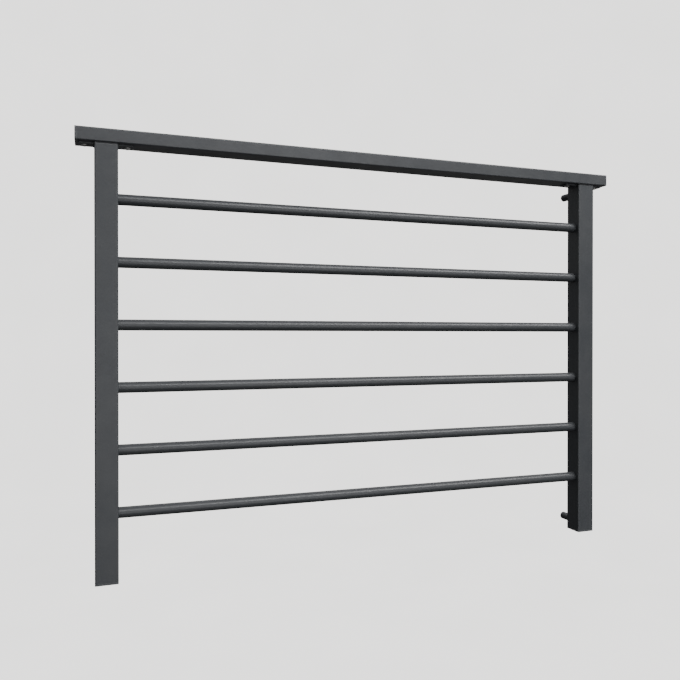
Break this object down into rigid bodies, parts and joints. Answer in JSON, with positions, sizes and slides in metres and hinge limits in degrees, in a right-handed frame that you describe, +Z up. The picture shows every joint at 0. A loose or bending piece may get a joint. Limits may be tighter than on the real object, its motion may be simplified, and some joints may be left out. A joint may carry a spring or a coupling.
{
  "type": "juliet balcony railing",
  "caption": "Anthracite powder-coated steel juliet balcony guard: flat handrail, two square posts, six round bars, four wall stand-offs.",
  "frame": {"origin": "centre of the lower left stand-off sleeve's end face, where it meets the wall", "axes": "+X along the wall to the right of somebody outside who faces it, +Y into the wall, +Z up; the wall face is the plane Y = 0"},
  "size_m": [1.4, 0.105, 1],
  "materials": {
    "powder_coat": "satin",
    "stainless": "satin",
    "black_steel": "satin"
  },
  "bodies": {
    "root": {"handrail": "powder_coat", "handrail_cap_left": "powder_coat", "handrail_cap_right": "powder_coat", "saddle_plate_left": "powder_coat", "saddle_plate_right": "powder_coat", "rail_screw_left_outer": "stainless", "rail_screw_left_inner": "stainless", "rail_screw_right_inner": "stainless", "rail_screw_right_outer": "stainless", "post_left": "powder_coat", "post_right": "powder_coat", "post_foot_plate_left": "powder_coat", "post_foot_plate_right": "powder_coat", "bar_1": "powder_coat", "bar_2": "powder_coat", "bar_3": "powder_coat", "bar_4": "powder_coat", "bar_5": "powder_coat", "bar_6": "powder_coat", "standoff_sleeve_low_left": "powder_coat", "standoff_sleeve_low_right": "powder_coat", "standoff_sleeve_top_left": "powder_coat", "standoff_sleeve_top_right": "powder_coat", "grub_screw_low_left": "black_steel", "grub_screw_low_right": "black_steel", "grub_screw_top_left": "black_steel", "grub_screw_top_right": "black_steel"}
  },
  "joints": []
}
